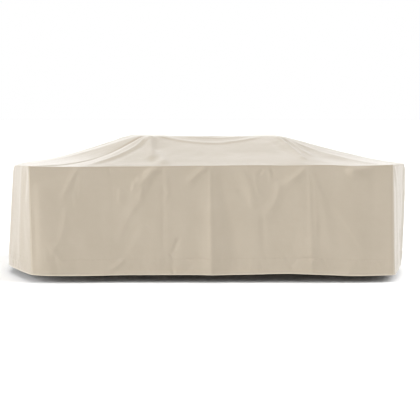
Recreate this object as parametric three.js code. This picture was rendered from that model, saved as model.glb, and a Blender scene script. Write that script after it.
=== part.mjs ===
// Patio dining set cover, in millimetres, +Z up: a fitted outdoor cover of coated canvas, sewn from a top
// panel and four skirts, hollow and open underneath. It has the shape in which it hangs in use: something
// firm lifts the middle of the top into a low crown, the top seam rests on supports that stand at
// intervals below it, and both end skirts are pushed outwards. +X runs along the front from left to right
// and +Y from the front skirt to the back one. The origin is on the underside of the cloth, at the middle
// of the crown.

import * as THREE from 'three';

const { clamp, lerp, smoothstep } = THREE.MathUtils;

// Driving sizes
const CLOTH = 2;        // thickness of the canvas
const HEM_LAYER = 1;    // extra thickness of the turned-up hem, on the inside
const SEAM_GAP = 0.3;   // clearance left between two panels along a seam
const LENGTH = 2810;    // top seam of the front and back skirts, corner to corner
const WIDTH = 2040;     // top seam of the end skirts, straight across from corner to corner
const CROWN_RISE = 213; // from the top seam up to the crown
const SKIRT_DROP = 850; // from the top seam down to the hem
const HEM_DEPTH = 125;  // height of the stitched hem

const CROWN_TOP = CLOTH;
const SEAM_LEVEL = CROWN_TOP - CROWN_RISE;

// The crown is the nearly level middle of the top. Each slope starts on the edge between two of its
// corners, and the cloth bends over them with a small radius.
const CROWN = {
  frontLeft: [-520, -75],
  frontRight: [500, -75],
  backRight: [500, 90],
  backLeft: [-625, 100],
};
const CROWN_BEND = 40;  // plan radius of the bend at a crown corner
const CROWN_SAG = 6;    // how far the crown's middle hangs below its ends
const CROWN_HALF = 600; // from the crown's middle to where the sag is measured
const KNEE = 0.05;      // share of a slope over which the cloth bends down from the crown
const CROWN_CALM = 0.1; // share of a slope, next to the crown, in which folds die away
const SEAM_CALM = 0.08; // the same next to the top seam

// Corners of the top seam. Going down a corner, the plan radius of its bend grows from topRadius to
// hemRadius, evenly where the easing is 1 and sooner where it is less, and its foot moves outwards by footX
// and footY, or inwards where they are below 0. The lifts are heights above the nominal level.
const CORNERS = {
  frontLeft: {
    side: [-1, -1], topRadius: 10, hemRadius: 24, easing: 0.8, footX: -12, footY: 8, topLift: -1, hemLift: 5,
  },
  frontRight: {
    side: [1, -1], topRadius: 10, hemRadius: 40, easing: 1, footX: 24, footY: 18, topLift: 9, hemLift: 5,
  },
  backRight: {
    side: [1, 1], topRadius: 12, hemRadius: 55, easing: 1, footX: 12, footY: 12, topLift: 0, hemLift: -3,
  },
  backLeft: {
    side: [-1, 1], topRadius: 12, hemRadius: 50, easing: 1, footX: 10, footY: 12, topLift: 2, hemLift: 3,
  },
};

// Rows of a skirt's grid, as distances below the top seam, and rings of the top's grid, as shares of the
// way from the crown to the seam. The columns of a skirt stand closer together at its corners.
const STITCH_LINE = SKIRT_DROP - HEM_DEPTH;
const STITCH_STEP = 6;
const SKIRT_ROWS = [
  0, 50, 115, 190, 275, 365, 460, 555, 645, STITCH_LINE, STITCH_LINE + STITCH_STEP, 790, SKIRT_DROP,
];
const TOP_RINGS = [0, 0.08, 0.17, 0.28, 0.4, 0.53, 0.67, 0.81, 0.93, 1];
const CORNER_STEPS = [0, 15, 34, 58, 88];

// A skirt runs from its start corner to its end corner, anticlockwise seen from above. Along it, the
// stations say how far the top seam and the hem stand out from the straight line between the corners,
// how far they lie above their level, and how hollow the slope of the top is above them: 1 is a taut
// slope, more a deeper sag. The slope is carried by the crown's edge between the two landings.
const STATION = ['along', 'topOut', 'hemOut', 'topLift', 'hemLift', 'hollow'];
const EVENING = 55; // the stations are evened out over this distance to either side

// Folds are ridges, or troughs where the height is below 0. Each runs from one point of its panel to
// another, its width changes on the way, and its middle swings sideways by the bow: on a skirt towards
// the start corner, for a fold that runs down, and on the top towards +X, for one that runs forwards. The
// growth, where a row has one, is the fold's height at its end as a multiple of that at its start.
const FOLD = ['bow', 'startWidth', 'endWidth', 'height', 'growth'];
const SKIRT_FOLD = ['fromAlong', 'fromDown', 'toAlong', 'toDown', ...FOLD];
const TOP_FOLD = ['fromX', 'fromY', 'toX', 'toY', ...FOLD];
const FOLD_RISE = 60;  // length over which a fold grows from its start, at most a quarter of its run
const FOLD_FADE = 150; // length over which it dies away before its end, at most half of its run
const CALM = 70;       // width of the strip beside a corner seam in which folds die away

const table = (columns, rows) =>
  rows.map((row) => Object.fromEntries(row.map((value, i) => [columns[i], value])));

const sum = (values) => values.reduce((total, value) => total + value, 0);

const SKIRTS = [
  {
    name: 'skirt_front', start: 'frontLeft', end: 'frontRight', out: [0, -1], columns: 66,
    landings: [465, 2140], lean: 1,
    stations: table(STATION, [
      [0, 0, 0, 0, 0, 3.0],
      [110, 0, 36, -4, -2, 2.5],
      [250, 0, 38, -7, -3, 1.7],
      [460, 3, 31, -6, -3, 1.15],
      [700, -8, 12, -5, 1, 1.12],
      [1000, 3, 18, -4, 3, 1.06],
      [1270, 0, 12, -1, 3, 1.1],
      [1400, 2, 30, -2, 2, 1.12],
      [1540, 0, 4, 0, 2, 1.12],
      [1760, 3, 24, 2, 8, 1.1],
      [1850, 0, 11, 0, 10, 1.1],
      [1980, 0, 10, -3, 13, 1.08],
      [2160, 5, 26, 1, 9, 1.06],
      [2320, 0, 12, 1, 1, 1.2],
      [2520, 8, 18, -8, -6, 1.5],
      [2700, 0, 0, -4, -3, 1.7],
      [2810, 0, 0, 0, 0, 1.8],
    ]),
    folds: table(SKIRT_FOLD, [
      [105, 120, 115, 900, 0, 80, 90, 12],
      [393, 0, 240, 316, 20, 24, 34, 8],
      [280, 325, 200, 650, -14, 30, 42, 7],
      [1008, 0, 800, 235, 20, 28, 44, 19],
      [955, 30, 745, 400, -26, 28, 46, 6],
      [815, 300, 655, 660, 14, 34, 44, 6],
      [885, 460, 715, 760, -8, 46, 52, 6],
      [702, 170, 692, 320, 0, 30, 30, 7],
      [1034, 150, 1024, 720, 0, 20, 24, -6, 0.5],
      [1380, 0, 1190, 170, 5, 22, 38, 11],
      [1400, 0, 1396, 900, 0, 18, 70, 5, 5],
      [1145, 560, 1086, 715, 0, 20, 22, -8],
      [1470, 60, 1612, 860, 0, 34, 74, -8],
      [1640, 40, 1750, 355, -12, 36, 44, 4, 3],
      [2155, 0, 1915, 185, -10, 26, 40, 14],
      [1935, 140, 1770, 440, -36, 36, 46, 11],
      [1798, 370, 1800, 740, 0, 24, 28, -6],
      [2162, 0, 2178, 900, 0, 20, 32, 7],
      [2168, 10, 2326, 740, -34, 24, 56, 7],
      [2334, 310, 2616, 745, -25, 40, 40, 2, 2.5],
      [2455, 27, 2675, 27, 0, 34, 34, 20],
    ]),
  },
  {
    name: 'skirt_right', start: 'frontRight', end: 'backRight', out: [1, 0], columns: 20,
    landings: [690, 1350], lean: 1.5,
    stations: table(STATION, [
      [0, 0, 0, 0, 0, 1.8],
      [330, 98, 80, -6, 4, 1.6],
      [690, 193, 153, -16, 6, 1.3],
      [1020, 202, 163, -24, 4, 1.25],
      [1350, 195, 161, -32, 2, 1.3],
      [1710, 102, 92, -22, -2, 1.7],
      [2040, 0, 0, 0, 0, 2.2],
    ]),
    folds: table(SKIRT_FOLD, [
      [40, 0, 190, 190, 12, 26, 46, 8],
      [160, 90, 230, 900, -12, 36, 60, 4],
      [330, 180, 400, 440, 0, 42, 52, -4],
      [700, 0, 600, 900, 24, 44, 84, 14],
      [860, 0, 900, 900, 0, 52, 80, -10],
      [1160, 60, 1140, 900, 0, 46, 70, -8],
      [1340, 0, 1460, 900, -24, 44, 84, 14],
      [1960, 0, 1760, 600, -20, 30, 60, 9],
    ]),
  },
  {
    name: 'skirt_back', start: 'backRight', end: 'backLeft', out: [0, 1], columns: 42,
    landings: [690, 2120], lean: 1,
    stations: table(STATION, [
      [0, 0, 0, 0, 0, 2.2],
      [240, 0, 12, -6, -5, 1.5],
      [520, 3, 24, -3, -7, 1.12],
      [860, -7, 10, -6, -1, 1.1],
      [1120, 3, 26, 1, 2, 1.06],
      [1405, 1, 12, 0, 3, 1.12],
      [1620, 3, 28, 4, 6, 1.1],
      [1900, -6, 10, -3, 4, 1.08],
      [2160, 4, 26, 2, 0, 1.1],
      [2420, 0, 14, -5, -5, 1.6],
      [2690, 0, 8, -4, -3, 2.1],
      [2810, 0, 0, 0, 0, 2.6],
    ]),
    folds: table(SKIRT_FOLD, [
      [520, 0, 330, 520, -24, 30, 56, 10],
      [530, 0, 600, 900, 16, 30, 62, 9],
      [1110, 0, 900, 270, 18, 30, 52, 12],
      [1120, 10, 1150, 900, -10, 28, 56, 9],
      [1405, 0, 1405, 900, 0, 20, 30, 9],
      [1620, 0, 1480, 640, -20, 30, 56, 10],
      [1640, 0, 1790, 430, 14, 30, 56, 9],
      [2160, 0, 2010, 320, -18, 30, 52, 11],
      [2170, 20, 2230, 900, 0, 28, 60, 9],
      [2560, 280, 2480, 900, 12, 42, 60, -8],
    ]),
  },
  {
    name: 'skirt_left', start: 'backLeft', end: 'frontLeft', out: [-1, 0], columns: 20,
    landings: [690, 1350], lean: 1,
    stations: table(STATION, [
      [0, 0, 0, 0, 0, 2.6],
      [330, 103, 127, -18, -4, 1.8],
      [690, 208, 263, -22, -6, 1.5],
      [1020, 219, 280, -22, -5, 1.45],
      [1350, 220, 279, -24, -2, 1.45],
      [1560, 160, 216, -16, 1, 1.8],
      [1820, 78, 110, -6, 3, 2.4],
      [2040, 0, 0, 0, 0, 3.0],
    ]),
    folds: table(SKIRT_FOLD, [
      [60, 0, 330, 620, 24, 30, 60, 9],
      [700, 0, 640, 900, 18, 44, 84, 13],
      [880, 40, 900, 900, 0, 48, 76, 8],
      [1080, 0, 1120, 900, 0, 52, 84, -9],
      [1345, 0, 1380, 900, -12, 46, 80, 10],
      [1810, 0, 1780, 900, 10, 38, 60, 5],
      [1960, 30, 1890, 340, 10, 34, 46, -7],
    ]),
  },
];

const TOP_FOLDS = table(TOP_FOLD, [
  [-560, -95, -1380, -1000, 26, 22, 30, -9],
  [-552, -215, -1000, -975, 80, 22, 28, 7],
  [-507, -170, -462, -900, 0, 34, 40, 20, 0.8],
  [-425, -560, -345, -1010, 0, 38, 46, 2, 9],
  [-450, -150, 470, -150, -215, 30, 30, 8],
  [-330, -130, 400, -130, -75, 22, 22, 5],
  [550, -180, 735, -840, 10, 20, 30, 10],
  [600, -180, 805, -740, 10, 20, 30, 9],
  [590, -80, 1110, -780, -20, 28, 52, 3],
  [560, -50, 1590, -350, 20, 36, 62, 2],
  [575, 120, 880, 970, 10, 26, 46, 8],
  [200, 130, 285, 970, 14, 36, 60, 6],
  [500, 140, -560, 140, -165, 50, 50, -7],
  [-680, 140, -780, 970, 0, 26, 46, 9],
  [-715, 130, -1380, 1000, -20, 24, 38, -8],
  [-730, 100, -1610, 330, -20, 36, 62, 6],
  [-600, -50, -1610, -330, 20, 36, 62, 2],
]);

const CANVAS = { color: 0xcfc6b2, roughness: 0.82, metalness: 0 };

const skirtLength = (skirt) => (skirt.out[0] === 0 ? LENGTH : WIDTH);

// One column of a skirt's stations at a distance along it, straight between two stations.
function straightStation(stations, column, along) {
  const next = Math.max(1, stations.findIndex((station) => station.along >= along));
  const [a, b] = [stations[next - 1], stations[next]];
  return lerp(a[column], b[column], (along - a.along) / (b.along - a.along));
}

// The same, evened out, but exact at both corners.
function stationAt(skirt, column, along) {
  const length = skirtLength(skirt);
  const reach = Math.min(EVENING, along, length - along);
  const places = [-1, -0.5, 0, 0.5, 1].map((k) => clamp(along + k * reach, 0, length));
  return sum(places.map((place) => straightStation(skirt.stations, column, place))) / places.length;
}

// The height of a fold at a point of its panel.
function foldHeight(fold, [fromX, fromY], [toX, toY], x, y) {
  const [runX, runY] = [toX - fromX, toY - fromY];
  const run = Math.hypot(runX, runY);
  const done = ((x - fromX) * runX + (y - fromY) * runY) / run;
  const share = clamp(done / run, 0, 1);
  const straight = ((x - fromX) * runY - (y - fromY) * runX) / run;
  const across = straight + fold.bow * 4 * share * (1 - share);
  const width = lerp(fold.startWidth, fold.endWidth, share);
  const height = fold.height * lerp(1, fold.growth ?? 1, share);
  const [rise, fall] = [Math.min(FOLD_RISE, run / 4), Math.min(FOLD_FADE, run / 2)];
  const fade = smoothstep(done, -rise / 2, rise) * smoothstep(run - done, 0, fall);
  return height * fade * Math.exp(-((across / width) ** 2));
}

const skirtFolds = ({ folds }, along, down) =>
  sum(folds.map((f) => foldHeight(f, [f.fromAlong, f.fromDown], [f.toAlong, f.toDown], along, down)));

const topFolds = (x, y) =>
  sum(TOP_FOLDS.map((f) => foldHeight(f, [f.fromX, f.fromY], [f.toX, f.toY], x, y)));

// A quarter bend of the skirts round a corner: how far it lies inside the sharp corner.
function bendInset(distance, radius) {
  const reach = Math.max(0, radius - distance);
  return radius - Math.sqrt(radius ** 2 - reach ** 2);
}

const BEND_MIDDLE = 1 - Math.SQRT1_2; // the middle of a quarter bend, as a share of its radius

const bendRadius = (corner, drop) => lerp(corner.topRadius, corner.hemRadius, drop ** corner.easing);

function cornerPost(corner, drop) {
  const [sideX, sideY] = corner.side;
  return [sideX * (LENGTH / 2 + corner.footX * drop), sideY * (WIDTH / 2 + corner.footY * drop)];
}

const cornerLift = (corner, drop) => lerp(corner.topLift, corner.hemLift, drop);

// The outer face of a skirt, at a share of the way from its start corner to its end corner and at a
// distance below the top seam. Both skirts of a corner put their last column on the same line.
function skirtPoint(skirt, share, down) {
  const drop = down / SKIRT_DROP;
  const [start, end] = [CORNERS[skirt.start], CORNERS[skirt.end]];
  const [startPost, endPost] = [cornerPost(start, drop), cornerPost(end, drop)];
  const [startBend, endBend] = [bendRadius(start, drop), bendRadius(end, drop)];
  const [outX, outY] = skirt.out;
  const [alongX, alongY] = [-outY, outX];
  const [spanX, spanY] = [endPost[0] - startPost[0], endPost[1] - startPost[1]];
  const span = spanX * alongX + spanY * alongY;
  const shift = spanX * outX + spanY * outY;

  const place = lerp(BEND_MIDDLE * startBend, span - BEND_MIDDLE * endBend, share);
  const length = skirtLength(skirt);
  const along = share * length;
  const station = (column) => stationAt(skirt, column, along);
  const bends = bendInset(place, startBend) + bendInset(span - place, endBend);
  const calm = smoothstep(along, 0, CALM) * smoothstep(length - along, 0, CALM);
  const hung = lerp(station('topOut'), station('hemOut'), drop ** skirt.lean);
  const out = share * shift + hung - bends + calm * skirtFolds(skirt, along, down);

  const lift = lerp(cornerLift(start, drop), cornerLift(end, drop), share);
  const z = SEAM_LEVEL - down + lift + lerp(station('topLift'), station('hemLift'), drop);
  const x = startPost[0] + alongX * place + outX * out;
  const y = startPost[1] + alongY * place + outY * out;
  return new THREE.Vector3(x, y, z);
}

function columnShares(skirt) {
  const near = CORNER_STEPS.map((step) => step / skirtLength(skirt));
  const first = near.at(-1);
  const between = Array.from({ length: skirt.columns - 1 }, (_, i) =>
    lerp(first, 1 - first, (i + 1) / skirt.columns),
  );
  return [...near, ...between, ...near.toReversed().map((share) => 1 - share)];
}

const skirtGrid = (skirt) =>
  SKIRT_ROWS.map((down) => columnShares(skirt).map((share) => skirtPoint(skirt, share, down)));

// How far a slope has fallen, from 0 at the crown to 1 at the seam: level at first, then even.
function fallen(out) {
  const bent = (share) => share - KNEE * (1 - Math.exp(-share / KNEE));
  return bent(out) / bent(1);
}

// The outer face of the top along one line, from the crown out to a point of the top seam.
function topSpoke(skirt, share, edge) {
  const along = share * skirtLength(skirt);
  const [firstLanding, lastLanding] = skirt.landings;
  const part = clamp((along - firstLanding) / (lastLanding - firstLanding), 0, 1);
  const crown = new THREE.Vector2(...CROWN[skirt.start]).lerp(new THREE.Vector2(...CROWN[skirt.end]), part);
  const seam = new THREE.Vector2(edge.x, edge.y);
  const foot = crown.clone().add(seam.clone().sub(crown).setLength(CROWN_BEND));
  const level = CROWN_TOP + CROWN_SAG * (foot.x / CROWN_HALF) ** 2;
  const hollow = stationAt(skirt, 'hollow', along);
  return TOP_RINGS.map((out) => {
    const { x, y } = foot.clone().lerp(seam, out);
    const calm = smoothstep(out, 0, CROWN_CALM) * smoothstep(1 - out, 0, SEAM_CALM);
    const height = (level - edge.z) * (1 - fallen(out)) ** hollow;
    return new THREE.Vector3(x, y, edge.z + height + calm * topFolds(x, y));
  });
}

// The top's grid has one row for each ring, closed round the cover.
function topGrid(skirtGrids) {
  const spokes = SKIRTS.flatMap((skirt, n) => {
    const shares = columnShares(skirt).slice(0, -1);
    return shares.map((share, column) => topSpoke(skirt, share, skirtGrids[n][0][column]));
  });
  return TOP_RINGS.map((_, ring) => spokes.map((spoke) => spoke[ring]));
}

// The unit normals of a panel's outer face at its grid points.
function gridNormals(grid, closed) {
  const normals = grid.map((row) => row.map(() => new THREE.Vector3()));
  const columns = grid[0].length;
  for (let r = 0; r + 1 < grid.length; r++) {
    for (let c = 0; c < (closed ? columns : columns - 1); c++) {
      const next = (c + 1) % columns;
      const falling = new THREE.Vector3().subVectors(grid[r + 1][next], grid[r][c]);
      const rising = new THREE.Vector3().subVectors(grid[r][next], grid[r + 1][c]);
      const normal = falling.cross(rising).normalize();
      const corners = [normals[r][c], normals[r][next], normals[r + 1][c], normals[r + 1][next]];
      corners.forEach((corner) => corner.add(normal));
    }
  }
  normals.flat().forEach((normal) => normal.normalize());
  return normals;
}

// Points of two panels that lie together on a seam share one normal, the sum of their own, so that the
// panels meet in a mitre.
const placeKey = (point) => point.toArray().map((value) => value.toFixed(2)).join();

function sharedNormals(panels) {
  const shared = new Map();
  for (const { outer, normals } of panels) {
    outer.flat().forEach((point, i) => {
      const key = placeKey(point);
      shared.set(key, (shared.get(key) ?? new THREE.Vector3()).add(normals.flat()[i]));
    });
  }
  shared.forEach((normal) => normal.normalize());
  return shared;
}

// The inner face: each point lies the cloth's thickness below the outer face, measured square to it.
function innerGrid({ outer, normals, thickness }, shared) {
  return outer.map((row, r) =>
    row.map((point, c) => {
      const mitre = shared.get(placeKey(point));
      return point.clone().addScaledVector(mitre, -thickness(r) / mitre.dot(normals[r][c]));
    }),
  );
}

// How each seam point of a panel is drawn back into its own panel to leave the seam gap. A mitre halves
// the square corner between two panels, so its faces part by less than the points move.
const DRAW_BACK = (SEAM_GAP / 2) * Math.SQRT2;

function drawnBack(point, inside, before, after) {
  const along = new THREE.Vector3().subVectors(after, before).normalize();
  const inwards = new THREE.Vector3().subVectors(inside, point);
  return inwards.addScaledVector(along, -inwards.dot(along)).setLength(DRAW_BACK);
}

function skirtMoves(outer) {
  const last = outer[0].length - 1;
  const moves = outer.map((row) => row.map(() => new THREE.Vector3()));
  outer[0].forEach((point, c) => {
    const [before, after] = [outer[0][Math.max(0, c - 1)], outer[0][Math.min(last, c + 1)]];
    moves[0][c].add(drawnBack(point, outer[1][c], before, after));
  });
  outer.forEach((row, r) => {
    const [above, below] = [outer[Math.max(0, r - 1)], outer[Math.min(outer.length - 1, r + 1)]];
    moves[r][0].add(drawnBack(row[0], row[1], above[0], below[0]));
    moves[r][last].add(drawnBack(row[last], row[last - 1], above[last], below[last]));
  });
  return moves;
}

function topMoves(outer) {
  const moves = outer.map((row) => row.map(() => new THREE.Vector3()));
  const [seam, inside] = [outer.at(-1), outer.at(-2)];
  seam.forEach((point, c) => {
    const [before, after] = [seam.at(c - 1), seam[(c + 1) % seam.length]];
    moves.at(-1)[c].add(drawnBack(point, inside[c], before, after));
  });
  return moves;
}

// Closes the ring round the crown: the front and back chains of its points are joined from left to right.
function crownCap(ring) {
  const order = ring.map((_, i) => i);
  const leftmost = order.reduce((best, i) => (ring[i].x < ring[best].x ? i : best));
  const rightmost = order.reduce((best, i) => (ring[i].x > ring[best].x ? i : best));
  const step = (i, by) => (i + by + ring.length) % ring.length;
  const faces = [];
  let [front, back] = [leftmost, leftmost];
  while (front !== rightmost || back !== rightmost) {
    const [nextFront, nextBack] = [step(front, 1), step(back, -1)];
    const frontFirst = ring[nextFront].x <= ring[nextBack].x;
    const takeFront = back === rightmost || (front !== rightmost && frontFirst);
    const tip = takeFront ? nextFront : nextBack;
    if (front !== back && tip !== front && tip !== back) faces.push([front, tip, back]);
    if (takeFront) front = nextFront;
    else back = nextBack;
  }
  return faces;
}

// One closed sheet from its outer and inner grids. The top's grid is closed round the cover and capped
// over the crown, and a skirt's grid has a rim on all four sides.
function sheetGeometry(outer, inner, closed) {
  const [rows, columns] = [outer.length, outer[0].length];
  const index = [];
  const at = (side, r, c) => (side * rows + r) * columns + (c % columns);
  const quad = (a, b, c, d) => index.push(a, b, c, a, c, d);
  const lastRow = rows - 1;
  const lastColumn = columns - 1;
  for (let c = 0; c < (closed ? columns : lastColumn); c++) {
    for (let r = 0; r < lastRow; r++) {
      quad(at(0, r, c), at(0, r + 1, c), at(0, r + 1, c + 1), at(0, r, c + 1));
      quad(at(1, r, c), at(1, r, c + 1), at(1, r + 1, c + 1), at(1, r + 1, c));
    }
    quad(at(0, lastRow, c), at(1, lastRow, c), at(1, lastRow, c + 1), at(0, lastRow, c + 1));
    if (!closed) quad(at(0, 0, c), at(0, 0, c + 1), at(1, 0, c + 1), at(1, 0, c));
  }
  if (closed) {
    for (const [a, b, c] of crownCap(outer[0])) {
      index.push(at(0, 0, a), at(0, 0, b), at(0, 0, c), at(1, 0, a), at(1, 0, c), at(1, 0, b));
    }
  } else {
    for (let r = 0; r < lastRow; r++) {
      quad(at(0, r, 0), at(1, r, 0), at(1, r + 1, 0), at(0, r + 1, 0));
      quad(at(0, r, lastColumn), at(0, r + 1, lastColumn), at(1, r + 1, lastColumn), at(1, r, lastColumn));
    }
  }
  return new THREE.BufferGeometry().setFromPoints([...outer.flat(), ...inner.flat()]).setIndex(index);
}

function moved(grid, moves) {
  return grid.map((row, r) => row.map((point, c) => point.clone().add(moves[r][c])));
}

function panelMesh(panel, shared) {
  const { name, outer, closed } = panel;
  const moves = closed ? topMoves(outer) : skirtMoves(outer);
  const inner = innerGrid(panel, shared);
  const geometry = sheetGeometry(moved(outer, moves), moved(inner, moves), closed);
  const material = new THREE.MeshStandardMaterial({ name: `${name}_canvas`, ...CANVAS });
  const mesh = new THREE.Mesh(geometry, material);
  mesh.name = name;
  return mesh;
}

function diningSetCover() {
  const skirtGrids = SKIRTS.map(skirtGrid);
  const hemRow = SKIRT_ROWS.indexOf(STITCH_LINE);
  const hemmed = (row) => (row > hemRow ? CLOTH + HEM_LAYER : CLOTH);
  const skirtPanels = SKIRTS.map(({ name }, n) => (
    { name, outer: skirtGrids[n], closed: false, thickness: hemmed }
  ));
  const topPanel = { name: 'top', outer: topGrid(skirtGrids), closed: true, thickness: () => CLOTH };
  const panels = [topPanel, ...skirtPanels];
  panels.forEach((panel) => { panel.normals = gridNormals(panel.outer, panel.closed); });
  const shared = sharedNormals(panels);
  return new THREE.Group().add(...panels.map((panel) => panelMesh(panel, shared)));
}

export default diningSetCover();
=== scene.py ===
"""Patio dining set cover: the looks of a fitted outdoor cover of coated canvas.

The cover is sewn from a top panel and four skirts. Each panel is a thin closed sheet on the folds of the
construction model, with the finer drape, packing creases, seams and hem of the real cloth, and it stands in
for that panel's node. +X runs along the front from left to right, +Y from the front skirt to the back one,
and the origin is under the cloth at the middle of the crown.
"""

import logging
from collections.abc import Iterable
from dataclasses import dataclass, field
from enum import Enum
from math import hypot, radians, sqrt, tau

import bpy
import numpy as np
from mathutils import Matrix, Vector

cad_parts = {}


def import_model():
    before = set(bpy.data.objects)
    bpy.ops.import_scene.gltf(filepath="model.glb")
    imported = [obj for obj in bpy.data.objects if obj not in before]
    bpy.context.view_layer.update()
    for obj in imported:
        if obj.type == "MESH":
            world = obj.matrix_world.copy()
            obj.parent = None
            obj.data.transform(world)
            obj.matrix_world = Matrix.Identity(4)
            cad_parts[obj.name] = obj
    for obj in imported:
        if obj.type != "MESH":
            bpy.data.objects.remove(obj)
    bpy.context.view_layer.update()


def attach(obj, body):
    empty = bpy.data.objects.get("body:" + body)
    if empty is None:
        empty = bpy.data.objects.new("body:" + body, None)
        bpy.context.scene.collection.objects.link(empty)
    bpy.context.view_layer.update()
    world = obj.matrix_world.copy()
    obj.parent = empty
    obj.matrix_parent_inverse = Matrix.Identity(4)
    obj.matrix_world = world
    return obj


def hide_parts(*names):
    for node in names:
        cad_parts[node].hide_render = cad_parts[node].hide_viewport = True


LOG = logging.getLogger("dining_set_cover")

Grid = np.ndarray
Pair = tuple[float, float]
Tree = bpy.types.NodeTree
Socket = bpy.types.NodeSocket

# Names of the maps that each mesh carries for its material
CLOTH_MAP = "cloth"
SEAM_MAP = "seam"

# Driving sizes, in millimetres as on a maker's pattern. MM turns them to metres where a mesh is made.
MM = 0.001
CLOTH = 2.0         # thickness of the canvas
HEM_LAYER = 1.0     # extra thickness of the turned-up hem, on the inside
LENGTH = 2810.0     # top seam of the front and back skirts, corner to corner
WIDTH = 2040.0      # top seam of the end skirts, straight across from corner to corner
CROWN_RISE = 213.0  # from the top seam up to the crown
SKIRT_DROP = 850.0  # from the top seam down to the hem
HEM_DEPTH = 125.0   # height of the stitched hem
FLOOR_DROP = 1116.0  # from the origin down to the ground

CROWN_TOP = CLOTH
SEAM_LEVEL = CROWN_TOP - CROWN_RISE
STITCH_LINE = SKIRT_DROP - HEM_DEPTH

CROWN_BEND = 40.0   # plan radius of the bend at a crown corner
CROWN_SAG = 6.0     # how far the crown's middle hangs below its ends
CROWN_HALF = 600.0  # from the crown's middle to where the sag is measured
KNEE = 0.05         # share of a slope over which the cloth bends down from the crown
CROWN_CALM = 0.1    # share of a slope, next to the crown, in which its folds die away
SEAM_CALM = 0.08    # the same next to the top seam
EVENING = 55.0      # stations are evened out over this distance to either side
EVENING_PARTS = (-1.0, -0.5, 0.0, 0.5, 1.0)  # where in that distance they are read
FOLD_RISE = 60.0    # length over which a fold grows from its start
FOLD_FADE = 150.0   # length over which it dies away before its end, or half its length if that is less
CALM = 70.0         # width of the strip beside a corner seam in which folds die away
RIPPLE_CALM = 40.0  # width of the strip beside any seam in which fine ripples die away

# Sewing
ALLOWANCE = 5.0       # from a seam to the middle of the swell over its folded allowance
ALLOWANCE_RISE = 1.2  # height of that swell
ALLOWANCE_HALF = 3.0  # half its width
TOPSTITCH = 10.0      # from a seam to the line of stitches beside it
STITCH_SINK = 0.7     # how deep a line of stitches pulls the cloth in
STITCH_HALF = 2.0     # half the width of the groove that it leaves
TURN_RUN = 6.0        # distance below the hem's stitches within which its extra layer begins

# The stitched hem
HEM_PUCKER = 1.4      # height of the tight puckers that its sewing leaves
PUCKER_LENGTHS = (26.0, 160.0)  # their length along the hem and down it
PUCKER_MIDDLE = 14.0  # from its stitches down to the middle of their band
PUCKER_REACH = 34.0   # how far above and below that middle they reach
HEM_WAVE = 2.6        # height of the looser waves of the hem itself
WAVE_LENGTHS = (58.0, 220.0)  # their length along the hem and down it
WAVE_LEAN = 400.0     # distance down over which they move sideways by one length
WAVE_RISE = (-20.0, 60.0)  # distances below the stitches between which they grow
HEM_FLARE = 2.0       # how far its edge springs out
FLARE_RISE = 22.0     # height above the edge at which that begins
HEM_SWELL = 0.6       # how far its extra layer pushes the outer face out
SWELL_RUN = 8.0       # distance below the stitches over which that grows
HEM_SINK = 0.5        # how deep its stitches pull it in
SINK_HALF = 5.0       # half the width of the groove that they leave
SINK_LENGTH = 300.0   # length over which they pull harder, then less
SINK_SHARES = (0.6, 0.7)  # how hard they pull on average, and how much harder or less hard at most
HEM_SEED = 71         # its first noise; the two others follow

# Rows and columns of the meshes
SEAM_STEPS = (0.0, 2.5, 5.0, 7.5, 10.0, 12.5, 17.0, 25.0)  # distances from a seam
HEM_STEPS = (-12.0, -6.0, -3.0, 0.0, 3.0, 6.0, 12.0)       # distances below the hem's stitches
HEM_EDGE_STEPS = (12.0, 6.0, 2.5, 1.2, 0.5, 0.1)           # distances above the hem's edge
FALL_ROWS = 74      # from below the seam down to the hem's stitches
HEM_ROWS = 12       # from there down to the hem's edge
EDGE_THINNING = 0.97  # how far the sheet thins towards that edge, to round it
SMOOTH_ANGLE = 50.0   # edges sharper than this stay sharp

# Noise and crests
NOISE_CELLS = 64    # the noise repeats after this many humps
NOISE_GAIN = 1.8    # brings it to about -1 to 1
DRIFT = 0.4         # how far a second, slower noise moves the ripples, as a share of their length
DRIFT_SEED = 500    # from the seed of the ripples to that of this noise
CREASE_LEVEL = 0.4  # keeps narrow ridges level with the cloth around them
CREST_BEND = 0.12   # how round the sharpest crest still is, as a share of its half width
CREST_FALL = 1.5    # how fast a sharp ridge falls away from its crest


def lerp(start: Grid | float, end: Grid | float, share: Grid | float) -> Grid | float:
    """Returns the value at a share of the way from start to end."""
    return start + (end - start) * share


def smoothstep(value: Grid | float, low: float, high: float) -> Grid:
    """Returns 0 up to low, 1 from high on, and a smooth rise between them."""
    share = np.clip((value - low) / (high - low), 0.0, 1.0)
    return share * share * (3.0 - 2.0 * share)


def bump(distance: Grid | float, half_width: float) -> Grid:
    """Returns a round hump of height 1 at distance 0."""
    return np.exp(-((distance / half_width) ** 2))


def smooth_noise(u: Grid, v: Grid, seed: int) -> Grid:
    """Gives smooth noise with about one hump or hollow to each unit.

    Args:
        u: First coordinate of each point.
        v: Second coordinate of each point.
        seed: Which noise it is.

    Returns:
        The noise at each point, from about -1 to 1.
    """
    slopes = np.random.default_rng(seed).uniform(-1.0, 1.0, (NOISE_CELLS, NOISE_CELLS, 2))
    u, v = np.broadcast_arrays(u, v)
    cell_u, cell_v = np.floor(u).astype(int), np.floor(v).astype(int)
    part_u, part_v = u - cell_u, v - cell_v

    def pull(step_u: int, step_v: int) -> Grid:
        """Returns what one corner of each point's cell adds."""
        slope = slopes[(cell_u + step_u) % NOISE_CELLS, (cell_v + step_v) % NOISE_CELLS]
        return slope[..., 0] * (part_u - step_u) + slope[..., 1] * (part_v - step_v)

    ease_u = part_u**3 * (part_u * (6.0 * part_u - 15.0) + 10.0)
    ease_v = part_v**3 * (part_v * (6.0 * part_v - 15.0) + 10.0)
    near = lerp(pull(0, 0), pull(1, 0), ease_u)
    far = lerp(pull(0, 1), pull(1, 1), ease_u)
    return NOISE_GAIN * lerp(near, far, ease_v)


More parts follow.
